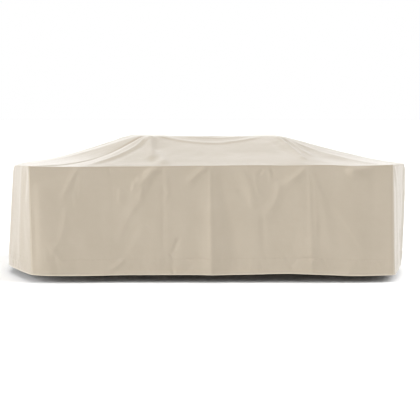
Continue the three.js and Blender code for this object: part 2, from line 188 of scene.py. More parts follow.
class Wave(Enum):
    """How the uneven ripples of a cloth are shaped."""

    SWELL = "soft humps and hollows"
    CREASE = "narrow ridges between flat hollows"


class Hang(Enum):
    """How a panel is held, in the frame's words."""

    DRAPED = "draped"
    HUNG = "hung"


@dataclass(frozen=True)
class Ripples:
    """Uneven ripples all over a panel.

    Attributes:
        wave: Their shape.
        height: Their height in millimetres.
        lengths: Their length along and across the panel in millimetres.
        seed: Which noise they follow.
    """

    wave: Wave
    height: float
    lengths: Pair
    seed: int

    def height_at(self, u: Grid, v: Grid) -> Grid:
        """Returns the height of the ripples at points of a panel."""
        part_u, part_v = u / self.lengths[0], v / self.lengths[1]
        drift = DRIFT * smooth_noise(part_u * 0.5, part_v * 0.5, self.seed + DRIFT_SEED)
        noise = smooth_noise(part_u + drift, part_v - drift, self.seed)
        if self.wave is Wave.CREASE:
            return self.height * (CREASE_LEVEL - np.sqrt(noise**2 + CREST_BEND**2))
        return self.height * noise


@dataclass(frozen=True)
class Fold:
    """A ridge of a panel, or a trough where its height is below 0.

    Attributes:
        start: Where it begins: along and down a skirt, or X and Y on the top.
        end: Where it ends.
        bow: How far its middle swings sideways, towards a skirt's start corner or the top's right end.
        widths: Its half widths at its start and its end.
        height: Its height.
        crisp: From 0 for a round swell to 1 for a sharp crest.
        slant: Above 0, the far flank is the wider one; below 0, it is the steeper one.
        growth: Its height at its end, as a multiple of that at its start.
    """

    start: Pair
    end: Pair
    bow: float
    widths: Pair
    height: float
    crisp: float = 0.0
    slant: float = 0.0
    growth: float = 1.0

    def height_at(self, x: Grid, y: Grid) -> Grid:
        """Returns the height of the fold at points of its panel."""
        run_x, run_y = self.end[0] - self.start[0], self.end[1] - self.start[1]
        run = hypot(run_x, run_y)
        done = ((x - self.start[0]) * run_x + (y - self.start[1]) * run_y) / run
        share = np.clip(done / run, 0.0, 1.0)
        straight = ((x - self.start[0]) * run_y - (y - self.start[1]) * run_x) / run
        across = straight + self.bow * 4.0 * share * (1.0 - share)
        width = lerp(self.widths[0], self.widths[1], share) * (1.0 + self.slant * np.sign(across))
        rise, fall = min(FOLD_RISE, run / 4.0), min(FOLD_FADE, run / 2.0)
        fade = smoothstep(done, -rise / 2.0, rise) * smoothstep(run - done, 0.0, fall)
        off = np.abs(across) / width
        sharp = np.exp(-CREST_FALL * (np.sqrt(off**2 + CREST_BEND**2) - CREST_BEND))
        return self.height * lerp(1.0, self.growth, share) * fade * lerp(np.exp(-(off**2)), sharp, self.crisp)


def height_of(reliefs: Iterable[Fold | Ripples], u: Grid, v: Grid) -> Grid:
    """Returns the height of several folds and ripples together."""
    return sum(relief.height_at(u, v) for relief in reliefs)


def seam_relief(distance: Grid) -> Grid:
    """Returns how far the cloth stands proud beside a seam, over its allowance and at its stitches."""
    swell = ALLOWANCE_RISE * bump(distance - ALLOWANCE, ALLOWANCE_HALF)
    return swell - STITCH_SINK * bump(distance - TOPSTITCH, STITCH_HALF)


@dataclass(frozen=True)
class Corner:
    """One corner of the cover, from the top seam down to the hem.

    Attributes:
        side: -1 or 1 along X and along Y.
        crown: The corner of the crown from which the cloth falls to it.
        top_radius: Plan radius of its bend at the seam.
        hem_radius: Plan radius of its bend at the hem.
        foot: How far it moves outwards on its way down, along X and Y.
        top_lift: Height above the nominal level, at the seam.
        hem_lift: Height above the nominal level, at the hem.
        easing: Above 1, its bend stays sharp for longer on its way down.
    """

    side: tuple[int, int]
    crown: Pair
    top_radius: float
    hem_radius: float
    foot: Pair
    top_lift: float
    hem_lift: float
    easing: float

    def radius(self, drop: Grid) -> Grid:
        """Returns the plan radius of the bend at a share of the way down."""
        return lerp(self.top_radius, self.hem_radius, drop**self.easing)

    def post(self, drop: Grid) -> tuple[Grid, Grid]:
        """Returns the X and Y of the sharp corner at a share of the way down."""
        x = self.side[0] * (LENGTH / 2.0 + self.foot[0] * drop)
        y = self.side[1] * (WIDTH / 2.0 + self.foot[1] * drop)
        return x, y

    def lift(self, drop: Grid) -> Grid:
        """Returns the height above the nominal level at a share of the way down."""
        return lerp(self.top_lift, self.hem_lift, drop)


def bend_inset(distance: Grid, radius: Grid) -> Grid:
    """Returns how far a quarter bend lies inside its sharp corner."""
    reach = np.maximum(0.0, radius - distance)
    return radius - np.sqrt(radius**2 - reach**2)


BEND_MIDDLE = 1.0 - sqrt(0.5)  # the middle of a quarter bend, as a share of its radius

STATION = ("along", "top_out", "hem_out", "top_lift", "hem_lift", "hollow")


@dataclass(frozen=True)
class Skirt:
    """One skirt, which runs from its start corner to its end corner, anticlockwise seen from above.

    Attributes:
        name: Its node in the construction model.
        start: Its start corner.
        end: Its end corner.
        out: Its outward direction in plan.
        columns: How many columns its mesh has between its seams.
        landings: Where along it the slope of the top begins and stops to be carried by the crown's edge.
        lean: Above 1, its outward swing grows late on its way down.
        stations: Rows with the columns of STATION: how far the seam and the hem stand out and lie above
            their level, and how hollow the slope of the top is above them.
        folds: Its main folds, which the construction model has too.
        creases: Its finer folds.
        ripples: Its uneven ripples.
    """

    name: str
    start: Corner
    end: Corner
    out: tuple[int, int]
    columns: int
    landings: Pair
    lean: float
    stations: tuple[tuple[float, ...], ...]
    folds: tuple[Fold, ...]
    creases: tuple[Fold, ...]
    ripples: tuple[Ripples, ...]

    @property
    def length(self) -> float:
        """The straight length of its top seam."""
        return LENGTH if self.out[0] == 0 else WIDTH

    @property
    def along(self) -> Grid:
        """The places of its mesh's columns along it."""
        near = np.array(SEAM_STEPS)
        between = np.linspace(near[-1], self.length - near[-1], self.columns + 1)[1:-1]
        return np.concatenate([near, between, self.length - near[::-1]])

    def station(self, column: str, along: Grid) -> Grid:
        """Returns one column of its stations at places along it, evened out but exact at its corners."""
        rows = np.array(self.stations)
        reach = np.minimum(EVENING, np.minimum(along, self.length - along))
        places, values = rows[:, 0], rows[:, STATION.index(column)]
        near = [np.interp(along + part * reach, places, values) for part in EVENING_PARTS]
        return sum(near) / len(near)

    def outer_face(self, along: Grid, down: Grid) -> Grid:
        """Gives its outer face.

        Args:
            along: Places along it, one to a column.
            down: Distances below the top seam, one to a row.

        Returns:
            The points of the face in millimetres, as rows by columns by X, Y and Z.
        """
        share, down = along / self.length, down[:, None]
        drop = down / SKIRT_DROP
        (start_x, start_y), (end_x, end_y) = self.start.post(drop), self.end.post(drop)
        out_x, out_y = self.out
        along_x, along_y = -out_y, out_x
        span = (end_x - start_x) * along_x + (end_y - start_y) * along_y
        shift = (end_x - start_x) * out_x + (end_y - start_y) * out_y

        start_bend, end_bend = self.start.radius(drop), self.end.radius(drop)
        place = lerp(BEND_MIDDLE * start_bend, span - BEND_MIDDLE * end_bend, share)
        bends = bend_inset(place, start_bend) + bend_inset(span - place, end_bend)
        hung = lerp(self.station("top_out", along), self.station("hem_out", along), drop**self.lean)
        out = share * shift + hung - bends + self.relief(along, down)

        lift = lerp(self.start.lift(drop), self.end.lift(drop), share)
        lift = lift + lerp(self.station("top_lift", along), self.station("hem_lift", along), drop)
        x = start_x + along_x * place + out_x * out
        y = start_y + along_y * place + out_y * out
        return np.stack([x, y, SEAM_LEVEL - down + lift], axis=-1)

    def relief(self, along: Grid, down: Grid) -> Grid:
        """Returns how far its folds, ripples and sewing stand out at points of it."""
        to_corner = np.minimum(along, self.length - along)
        calm = smoothstep(to_corner, 0.0, CALM)
        fine_calm = smoothstep(to_corner, 0.0, RIPPLE_CALM) * smoothstep(down, 0.0, RIPPLE_CALM)
        folds = calm * height_of(self.folds + self.creases, along, down)
        ripples = fine_calm * height_of(self.ripples, along, down)
        sewing = seam_relief(np.minimum(to_corner, down)) + fine_calm * self.hem_relief(along, down)
        return folds + ripples + sewing

    def hem_relief(self, along: Grid, down: Grid) -> Grid:
        """Returns how far the stitched hem stands out, with the puckers that its sewing leaves."""
        below = down - STITCH_LINE
        tight = smooth_noise(along / PUCKER_LENGTHS[0], down / PUCKER_LENGTHS[1], HEM_SEED)
        loose = smooth_noise(along / WAVE_LENGTHS[0] + down / WAVE_LEAN, down / WAVE_LENGTHS[1], HEM_SEED + 1)
        pull = SINK_SHARES[0] + SINK_SHARES[1] * smooth_noise(along / SINK_LENGTH, 0.5, HEM_SEED + 2)
        tight = tight * bump(below - PUCKER_MIDDLE, PUCKER_REACH)
        loose = loose * smoothstep(below, *WAVE_RISE)
        flare = HEM_FLARE * smoothstep(down, SKIRT_DROP - FLARE_RISE, SKIRT_DROP)
        edge = flare + HEM_SWELL * smoothstep(below, 0.0, SWELL_RUN)
        return HEM_PUCKER * tight + HEM_WAVE * loose + edge - HEM_SINK * pull * bump(below, SINK_HALF)


@dataclass
class Sheet:
    """One panel as a closed thin sheet.

    Attributes:
        name: Its node in the construction model.
        outer: Points of its outer face in millimetres, as rows by columns by X, Y and Z.
        depth: Its thickness in each row.
        closed: Whether its columns run all the way round the cover.
        cloth_map: A place on the cloth in metres for each point.
        seam_map: The run along the nearest seam and the distance from it, in metres, for each point.
        normals: The unit normals of its outer face.
    """

    name: str
    outer: Grid
    depth: Grid
    closed: bool
    cloth_map: Grid
    seam_map: Grid
    normals: Grid = field(init=False)

    def __post_init__(self) -> None:
        """Works out the normals of the outer face."""
        grid = np.concatenate([self.outer, self.outer[:, :1]], axis=1) if self.closed else self.outer
        falling = grid[1:, 1:] - grid[:-1, :-1]
        rising = grid[:-1, 1:] - grid[1:, :-1]
        faces = unit(np.cross(falling, rising))
        normals = np.zeros_like(grid)
        for rows in (slice(1, None), slice(None, -1)):
            for columns in (slice(1, None), slice(None, -1)):
                normals[rows, columns] += faces
        if self.closed:
            normals[:, 0] += normals[:, -1]
            normals = normals[:, :-1]
        self.normals = unit(normals)

    def faces(self) -> list[list[int]]:
        """Gives the faces of the closed sheet, all pointing out.

        Returns:
            Each face as the numbers of its points: the outer face's come first, then the inner one's.
        """
        rows, columns, _ = self.outer.shape
        point = np.arange(2 * rows * columns).reshape(2, rows, columns)
        if self.closed:
            point = np.concatenate([point, point[:, :, :1]], axis=2)
        out, inside = point
        loops = [
            (out[:-1, :-1], out[1:, :-1], out[1:, 1:], out[:-1, 1:]),
            (inside[:-1, :-1], inside[:-1, 1:], inside[1:, 1:], inside[1:, :-1]),
            (out[-1, :-1], inside[-1, :-1], inside[-1, 1:], out[-1, 1:]),
        ]
        if not self.closed:
            loops += [
                (out[0, :-1], out[0, 1:], inside[0, 1:], inside[0, :-1]),
                (out[:-1, 0], inside[:-1, 0], inside[1:, 0], out[1:, 0]),
                (out[:-1, -1], out[1:, -1], inside[1:, -1], inside[:-1, -1]),
            ]
        faces = []
        for loop in loops:
            faces += np.stack([part.ravel() for part in loop], axis=1).tolist()
        if self.closed:
            for a, b, c in ring_cap(self.outer[0]):
                faces += [[a, b, c], [a + rows * columns, c + rows * columns, b + rows * columns]]
        return faces

    def build(self, mitres: Grid) -> bpy.types.Object:
        """Makes the sheet a Blender object.

        Args:
            mitres: For each point the normal along which its inner point lies.

        Returns:
            The object, with its two maps and smooth shading.
        """
        depth = self.depth[:, None, None] / (mitres * self.normals).sum(axis=-1, keepdims=True)
        inner = self.outer - mitres * depth
        points = np.concatenate([self.outer.reshape(-1, 3), inner.reshape(-1, 3)]) * MM
        mesh = bpy.data.meshes.new(f"canvas_{self.name}")
        mesh.from_pydata(points.tolist(), [], self.faces())
        corners = np.empty(len(mesh.loops), dtype=np.int32)
        mesh.loops.foreach_get("vertex_index", corners)
        for name, places in ((CLOTH_MAP, self.cloth_map), (SEAM_MAP, self.seam_map)):
            both = np.tile(places.reshape(-1, 2), (2, 1))
            mesh.uv_layers.new(name=name).uv.foreach_set("vector", both[corners].astype(np.float32).ravel())
        piece = bpy.data.objects.new(f"canvas_{self.name}", mesh)
        bpy.context.scene.collection.objects.link(piece)
        select_only(piece)
        bpy.ops.object.shade_smooth_by_angle(angle=radians(SMOOTH_ANGLE))
        return piece


def unit(vectors: Grid) -> Grid:
    """Returns the vectors at length 1."""
    return vectors / np.linalg.norm(vectors, axis=-1, keepdims=True)


def select_only(piece: bpy.types.Object) -> None:
    """Selects one object and nothing else, and makes it the active one."""
    bpy.ops.object.select_all(action="DESELECT")
    piece.select_set(True)
    bpy.context.view_layer.objects.active = piece


def ring_cap(ring: Grid) -> list[tuple[int, int, int]]:
    """Closes a ring of points: its front and back chains are joined from left to right.

    Args:
        ring: The points, anticlockwise seen from above.

    Returns:
        Triangles that point up, as numbers of the ring's points.
    """
    across = ring[:, 0].tolist()
    count = len(across)
    leftmost, rightmost = across.index(min(across)), across.index(max(across))
    faces, front, back = [], leftmost, leftmost
    while (front, back) != (rightmost, rightmost):
        next_front, next_back = (front + 1) % count, (back - 1) % count
        front_first = front != rightmost and across[next_front] <= across[next_back]
        take_front = back == rightmost or front_first
        tip = next_front if take_front else next_back
        if front != back and tip not in (front, back):
            faces.append((front, tip, back))
        front, back = (tip, back) if take_front else (front, tip)
    return faces


def mitred(sheets: list[Sheet]) -> list[Grid]:
    """Gives points of different sheets that lie together on a seam one shared normal.

    Args:
        sheets: The sheets that meet.

    Returns:
        For each sheet the normals, shared where it meets another, so that sheets meet in a mitre.
    """
    places = np.concatenate([sheet.outer.reshape(-1, 3) for sheet in sheets])
    normals = np.concatenate([sheet.normals.reshape(-1, 3) for sheet in sheets])
    _, spot = np.unique(places.round(3), axis=0, return_inverse=True)
    spot = spot.ravel()
    total = np.zeros((spot.max() + 1, 3))
    np.add.at(total, spot, normals)
    shared = unit(total)[spot]
    ends = np.cumsum([sheet.outer[..., 0].size for sheet in sheets])[:-1]
    return [part.reshape(sheet.outer.shape) for part, sheet in zip(np.split(shared, ends), sheets)]


def skirt_ripples(seed: int) -> tuple[Ripples, ...]:
    """Returns the ripples of a skirt: tall soft swells with narrower creases on them."""
    return (
        Ripples(Wave.SWELL, 4.0, (210.0, 420.0), seed),
        Ripples(Wave.CREASE, 2.2, (150.0, 260.0), seed + 1),
    )


FRONT_LEFT = Corner((-1, -1), (-520.0, -75.0), 10.0, 24.0, (-12.0, 8.0), -1.0, 5.0, 0.8)
FRONT_RIGHT = Corner((1, -1), (500.0, -75.0), 10.0, 40.0, (24.0, 18.0), 9.0, 5.0, 1.0)
BACK_RIGHT = Corner((1, 1), (500.0, 90.0), 12.0, 55.0, (12.0, 12.0), 0.0, -3.0, 1.0)
BACK_LEFT = Corner((-1, 1), (-625.0, 100.0), 12.0, 50.0, (10.0, 12.0), 2.0, 3.0, 1.0)

FRONT = Skirt(
    name="skirt_front", start=FRONT_LEFT, end=FRONT_RIGHT, out=(0, -1), columns=280,
    landings=(465.0, 2140.0), lean=1.0,
    stations=(
        (0, 0, 0, 0, 0, 3.0),
        (110, 0, 36, -4, -2, 2.5),
        (250, 0, 38, -7, -3, 1.7),
        (460, 3, 31, -6, -3, 1.15),
        (700, -8, 12, -5, 1, 1.12),
        (1000, 3, 18, -4, 3, 1.06),
        (1270, 0, 12, -1, 3, 1.1),
        (1400, 2, 30, -2, 2, 1.12),
        (1540, 0, 4, 0, 2, 1.12),
        (1760, 3, 24, 2, 8, 1.1),
        (1850, 0, 11, 0, 10, 1.1),
        (1980, 0, 10, -3, 13, 1.08),
        (2160, 5, 26, 1, 9, 1.06),
        (2320, 0, 12, 1, 1, 1.2),
        (2520, 8, 18, -8, -6, 1.5),
        (2700, 0, 0, -4, -3, 1.7),
        (2810, 0, 0, 0, 0, 1.8),
    ),
    folds=(
        Fold((85, 120), (95, 900), 0, (100, 110), 12, slant=0.5),
        Fold((393, 0), (240, 316), 20, (22, 34), 8, crisp=0.5),
        Fold((280, 325), (200, 650), -14, (30, 42), 7, crisp=0.4, slant=0.2),
        Fold((1008, 0), (800, 235), 20, (28, 44), 19, crisp=0.3, slant=0.1),
        Fold((955, 30), (745, 400), -26, (28, 46), 6, crisp=0.3, slant=-0.3),
        Fold((815, 300), (655, 660), 14, (34, 44), 6, crisp=0.3, slant=-0.3),
        Fold((885, 460), (715, 760), -8, (46, 52), 6, slant=0.3),
        Fold((702, 170), (692, 320), 0, (30, 30), 7, slant=0.4),
        Fold((1034, 150), (1024, 720), 0, (20, 24), -6, crisp=0.4, growth=0.5),
        Fold((1380, 0), (1190, 170), 5, (22, 38), 11, crisp=0.3),
        Fold((1400, 0), (1396, 900), 0, (12, 76), 5, crisp=1.0, growth=5.0),
        Fold((1145, 560), (1086, 715), 0, (16, 18), -9, crisp=0.4),
        Fold((1470, 60), (1612, 860), 0, (34, 74), -8),
        Fold((1640, 40), (1750, 355), -12, (36, 44), 4, growth=3.0),
        Fold((2155, 0), (1915, 185), -10, (26, 40), 14, crisp=0.3, slant=0.2),
        Fold((1935, 140), (1770, 440), -36, (36, 46), 11, crisp=0.3, slant=0.1),
        Fold((1798, 370), (1800, 740), 0, (24, 28), -6),
        Fold((2162, 0), (2178, 900), 0, (20, 32), 7, crisp=0.5),
        Fold((2168, 10), (2326, 740), -34, (24, 56), 7, crisp=0.3),
        Fold((2334, 310), (2616, 745), -25, (40, 40), 2, slant=0.4, growth=2.5),
        Fold((2455, 27), (2675, 27), 0, (35, 35), 26, slant=-0.4),
    ),
    creases=(
        Fold((370, 60), (334, 245), 8, (12, 18), -3, crisp=0.5),
        Fold((345, 195), (366, 330), 0, (14, 18), 3, crisp=0.4),
        Fold((393, 30), (383, 320), 0, (10, 14), 2.5, crisp=0.8),
        Fold((130, 600), (305, 815), 0, (18, 22), 4, crisp=0.2, slant=0.3),
        Fold((215, 590), (140, 710), 0, (18, 22), 4, crisp=0.3),
        Fold((124, 640), (114, 770), 0, (16, 20), 4, crisp=0.3),
        Fold((175, 690), (215, 820), 0, (20, 24), -3),
        Fold((609, 0), (627, 85), -6, (9, 12), -5, crisp=0.6),
        Fold((637, 130), (637, 430), 0, (14, 18), -1.2, crisp=0.6),
        Fold((957, 15), (874, 80), 0, (14, 18), 6, crisp=0.5),
        Fold((850, 80), (800, 170), 0, (14, 18), 6, crisp=0.4, slant=0.3),
        Fold((808, 115), (778, 230), -6, (14, 18), 8, crisp=0.4, slant=0.4),
        Fold((878, 165), (850, 275), 0, (14, 18), 7, crisp=0.4, slant=-0.4),
        Fold((745, 705), (520, 850), -15, (24, 28), 7, crisp=0.3),
        Fold((1052, 15), (1052, 215), 0, (20, 24), 5, slant=0.3),
        Fold((1068, 60), (1085, 215), 6, (18, 24), 4, crisp=0.2, slant=-0.4),
        Fold((1085, 180), (1010, 350), -6, (22, 18), 4, crisp=0.2, slant=-0.4),
        Fold((1075, 675), (1110, 750), 0, (14, 14), -6, crisp=0.3),
        Fold((1108, 735), (1085, 800), 0, (14, 14), -5, crisp=0.3),
        Fold((1088, 780), (1108, 870), 0, (14, 16), -5, crisp=0.3),
        Fold((1260, 760), (1190, 845), 0, (16, 18), -4, crisp=0.3),
        Fold((1180, 722), (1440, 722), 0, (9, 9), -3, crisp=0.3),
        Fold((2060, 722), (2320, 722), 0, (9, 9), -3, crisp=0.3),
        Fold((1600, 706), (1900, 708), 0, (9, 9), -1.6, crisp=0.3),
        Fold((2600, 744), (2750, 752), 0, (9, 9), 3, crisp=0.3),
        Fold((1770, 85), (1820, 12), 0, (12, 14), -5, crisp=0.3),
        Fold((1872, 15), (1898, 100), 0, (12, 14), -4.5, crisp=0.3),
        Fold((1850, 30), (1866, 150), 0, (14, 16), 4, crisp=0.3, slant=0.3),
        Fold((1740, 70), (1800, 300), 6, (18, 22), 4, crisp=0.3, slant=0.3),
        Fold((1695, 180), (1725, 370), 0, (26, 30), 4, slant=0.2),
        Fold((1625, 165), (1640, 265), 0, (26, 30), -4),
        Fold((2200, 100), (2222, 630), 0, (16, 24), 3.5, crisp=0.3),
        Fold((2240, 440), (2239, 690), 0, (22, 26), -4, crisp=0.2),
        Fold((2664, 50), (2664, 420), 0, (30, 40), -3),
        Fold((1960, 700), (2030, 825), 0, (16, 20), -4, crisp=0.2),
        Fold((2060, 735), (2000, 830), 0, (14, 16), -3.5, crisp=0.3),
        Fold((2215, 715), (2110, 830), 0, (14, 16), 3.5, crisp=0.3),
        Fold((2250, 703), (2320, 845), 0, (14, 18), -4, crisp=0.3),
        Fold((2190, 660), (2105, 745), 0, (14, 16), 3, crisp=0.3),
        Fold((2678, 710), (2740, 850), 0, (14, 18), 4, crisp=0.3),
        Fold((2560, 690), (2630, 820), 0, (16, 20), -3, crisp=0.2),
    ),
    ripples=skirt_ripples(11),
)
RIGHT = Skirt(
    name="skirt_right", start=FRONT_RIGHT, end=BACK_RIGHT, out=(1, 0), columns=120,
    landings=(690.0, 1350.0), lean=1.5,
    stations=(
        (0, 0, 0, 0, 0, 1.8),
        (330, 98, 80, -6, 4, 1.6),
        (690, 193, 153, -16, 6, 1.3),
        (1020, 202, 163, -24, 4, 1.25),
        (1350, 195, 161, -32, 2, 1.3),
        (1710, 102, 92, -22, -2, 1.7),
        (2040, 0, 0, 0, 0, 2.2),
    ),
    folds=(
        Fold((40, 0), (190, 190), 12, (26, 46), 8),
        Fold((160, 90), (230, 900), -12, (36, 60), 4),
        Fold((330, 180), (400, 440), 0, (42, 52), -4),
        Fold((700, 0), (600, 900), 24, (44, 84), 14),
        Fold((860, 0), (900, 900), 0, (52, 80), -10),
        Fold((1160, 60), (1140, 900), 0, (46, 70), -8),
        Fold((1340, 0), (1460, 900), -24, (44, 84), 14),
        Fold((1960, 0), (1760, 600), -20, (30, 60), 9),
    ),
    creases=(
        Fold((95, 15), (150, 120), 0, (14, 18), 4, crisp=0.4),
        Fold((430, 500), (380, 790), 8, (26, 32), 4, slant=0.3),
        Fold((640, 30), (540, 260), -8, (20, 30), 6, crisp=0.3),
        Fold((715, 40), (760, 330), 0, (16, 24), 5, crisp=0.3),
        Fold((980, 90), (990, 520), 0, (24, 34), 4),
        Fold((1060, 480), (1030, 820), 0, (26, 34), -4),
        Fold((1330, 30), (1270, 250), 0, (16, 24), 5, crisp=0.3),
        Fold((1400, 60), (1530, 330), 8, (20, 30), 6, crisp=0.3),
        Fold((1700, 420), (1730, 790), 0, (28, 36), 5, slant=-0.3),
        Fold((1900, 560), (1960, 790), 0, (18, 22), 4, crisp=0.3),
        Fold((560, 722), (800, 722), 0, (9, 9), -2.5, crisp=0.3),
        Fold((1420, 722), (1650, 722), 0, (9, 9), -2.5, crisp=0.3),
    ),
    ripples=skirt_ripples(21),
)
BACK = Skirt(
    name="skirt_back", start=BACK_RIGHT, end=BACK_LEFT, out=(0, 1), columns=170,
    landings=(690.0, 2120.0), lean=1.0,
    stations=(
        (0, 0, 0, 0, 0, 2.2),
        (240, 0, 12, -6, -5, 1.5),
        (520, 3, 24, -3, -7, 1.12),
        (860, -7, 10, -6, -1, 1.1),
        (1120, 3, 26, 1, 2, 1.06),
        (1405, 1, 12, 0, 3, 1.12),
        (1620, 3, 28, 4, 6, 1.1),
        (1900, -6, 10, -3, 4, 1.08),
        (2160, 4, 26, 2, 0, 1.1),
        (2420, 0, 14, -5, -5, 1.6),
        (2690, 0, 8, -4, -3, 2.1),
        (2810, 0, 0, 0, 0, 2.6),
    ),
    folds=(
        Fold((520, 0), (330, 520), -24, (30, 56), 10),
        Fold((530, 0), (600, 900), 16, (30, 62), 9),
        Fold((1110, 0), (900, 270), 18, (30, 52), 12),
        Fold((1120, 10), (1150, 900), -10, (28, 56), 9),
        Fold((1405, 0), (1405, 900), 0, (20, 30), 9),
        Fold((1620, 0), (1480, 640), -20, (30, 56), 10),
        Fold((1640, 0), (1790, 430), 14, (30, 56), 9),
        Fold((2160, 0), (2010, 320), -18, (30, 52), 11),
        Fold((2170, 20), (2230, 900), 0, (28, 60), 9),
        Fold((2560, 280), (2480, 900), 12, (42, 60), -8),
    ),
    creases=(
        Fold((130, 600), (250, 820), 0, (18, 24), 4, crisp=0.3),
        Fold((545, 20), (470, 160), 0, (14, 18), 6, crisp=0.4),
        Fold((505, 60), (420, 330), -8, (18, 24), 4, crisp=0.3, slant=0.3),
        Fold((575, 120), (640, 420), 6, (22, 28), 4),
        Fold((705, 60), (720, 330), 0, (26, 30), -4),
        Fold((840, 430), (930, 700), 8, (26, 34), 5, crisp=0.2, slant=0.3),
        Fold((1090, 10), (1010, 110), 0, (14, 18), 6, crisp=0.4),
        Fold((1140, 40), (1235, 260), -6, (18, 26), 6, crisp=0.4, slant=-0.3),
        Fold((1010, 560), (1060, 790), 0, (20, 24), -4),
        Fold((1290, 240), (1300, 560), 0, (28, 34), 4),
        Fold((1600, 30), (1540, 190), 6, (16, 22), 5, crisp=0.3),
        Fold((1640, 20), (1700, 130), 0, (14, 18), 6, crisp=0.4),
        Fold((1700, 500), (1640, 780), -10, (28, 36), 5, slant=0.3),
        Fold((1905, 40), (1900, 300), 0, (30, 34), -4),
        Fold((2140, 15), (2060, 120), 0, (14, 18), 6, crisp=0.4),
        Fold((2190, 60), (2290, 330), -8, (18, 28), 6, crisp=0.3, slant=-0.3),
        Fold((2370, 560), (2330, 800), 0, (24, 30), 4),
        Fold((2640, 620), (2700, 820), 0, (16, 20), 4, crisp=0.3),
        Fold((430, 722), (760, 722), 0, (9, 9), -2, crisp=0.3),
        Fold((1820, 724), (2080, 722), 0, (9, 9), -2.5, crisp=0.3),
    ),
    ripples=skirt_ripples(31),
)
LEFT = Skirt(
    name="skirt_left", start=BACK_LEFT, end=FRONT_LEFT, out=(-1, 0), columns=120,
    landings=(690.0, 1350.0), lean=1.0,
    stations=(
        (0, 0, 0, 0, 0, 2.6),
        (330, 103, 127, -18, -4, 1.8),
        (690, 208, 263, -22, -6, 1.5),
        (1020, 219, 280, -22, -5, 1.45),
        (1350, 220, 279, -24, -2, 1.45),
        (1560, 160, 216, -16, 1, 1.8),
        (1820, 78, 110, -6, 3, 2.4),
        (2040, 0, 0, 0, 0, 3.0),
    ),
    folds=(
        Fold((60, 0), (330, 620), 24, (30, 60), 9),
        Fold((700, 0), (640, 900), 18, (44, 84), 13),
        Fold((880, 40), (900, 900), 0, (48, 76), 8),
        Fold((1080, 0), (1120, 900), 0, (52, 84), -9),
        Fold((1345, 0), (1380, 900), -12, (46, 80), 10),
        Fold((1810, 0), (1780, 900), 10, (38, 60), 5),
        Fold((1960, 30), (1890, 340), 10, (34, 46), -7),
    ),
    creases=(
        Fold((120, 20), (200, 160), 0, (14, 20), 5, crisp=0.4),
        Fold((420, 300), (380, 640), 8, (26, 34), 5, slant=0.3),
        Fold((640, 30), (560, 240), -8, (20, 28), 6, crisp=0.3),
        Fold((730, 50), (790, 340), 0, (16, 24), 5, crisp=0.3),
        Fold((980, 120), (1000, 560), 0, (24, 34), 4),
        Fold((1240, 60), (1200, 330), 0, (22, 28), -4),
        Fold((450, 722), (700, 722), 0, (9, 9), -2.5, crisp=0.3),
        Fold((1120, 722), (1360, 724), 0, (9, 9), -2, crisp=0.3),
        Fold((1430, 772), (1985, 776), 0, (13, 13), 5, crisp=0.3),
        Fold((1600, 785), (1580, 850), 0, (14, 16), -4, crisp=0.3),
        Fold((1755, 785), (1775, 850), 0, (14, 16), -5, crisp=0.3),
        Fold((1900, 785), (1880, 850), 0, (12, 14), 4, crisp=0.3),
    ),
    ripples=skirt_ripples(41),
)
SKIRTS = (FRONT, RIGHT, BACK, LEFT)


def fallen(out: Grid) -> Grid:
    """Returns how far a slope has fallen, from 0 at the crown to 1 at the seam: level at first."""

    def bent(share: Grid | float) -> Grid | float:
        """Returns the fall before it is brought to end at 1."""
        return share - KNEE * (1.0 - np.exp(-share / KNEE))

    return bent(out) / bent(1.0)


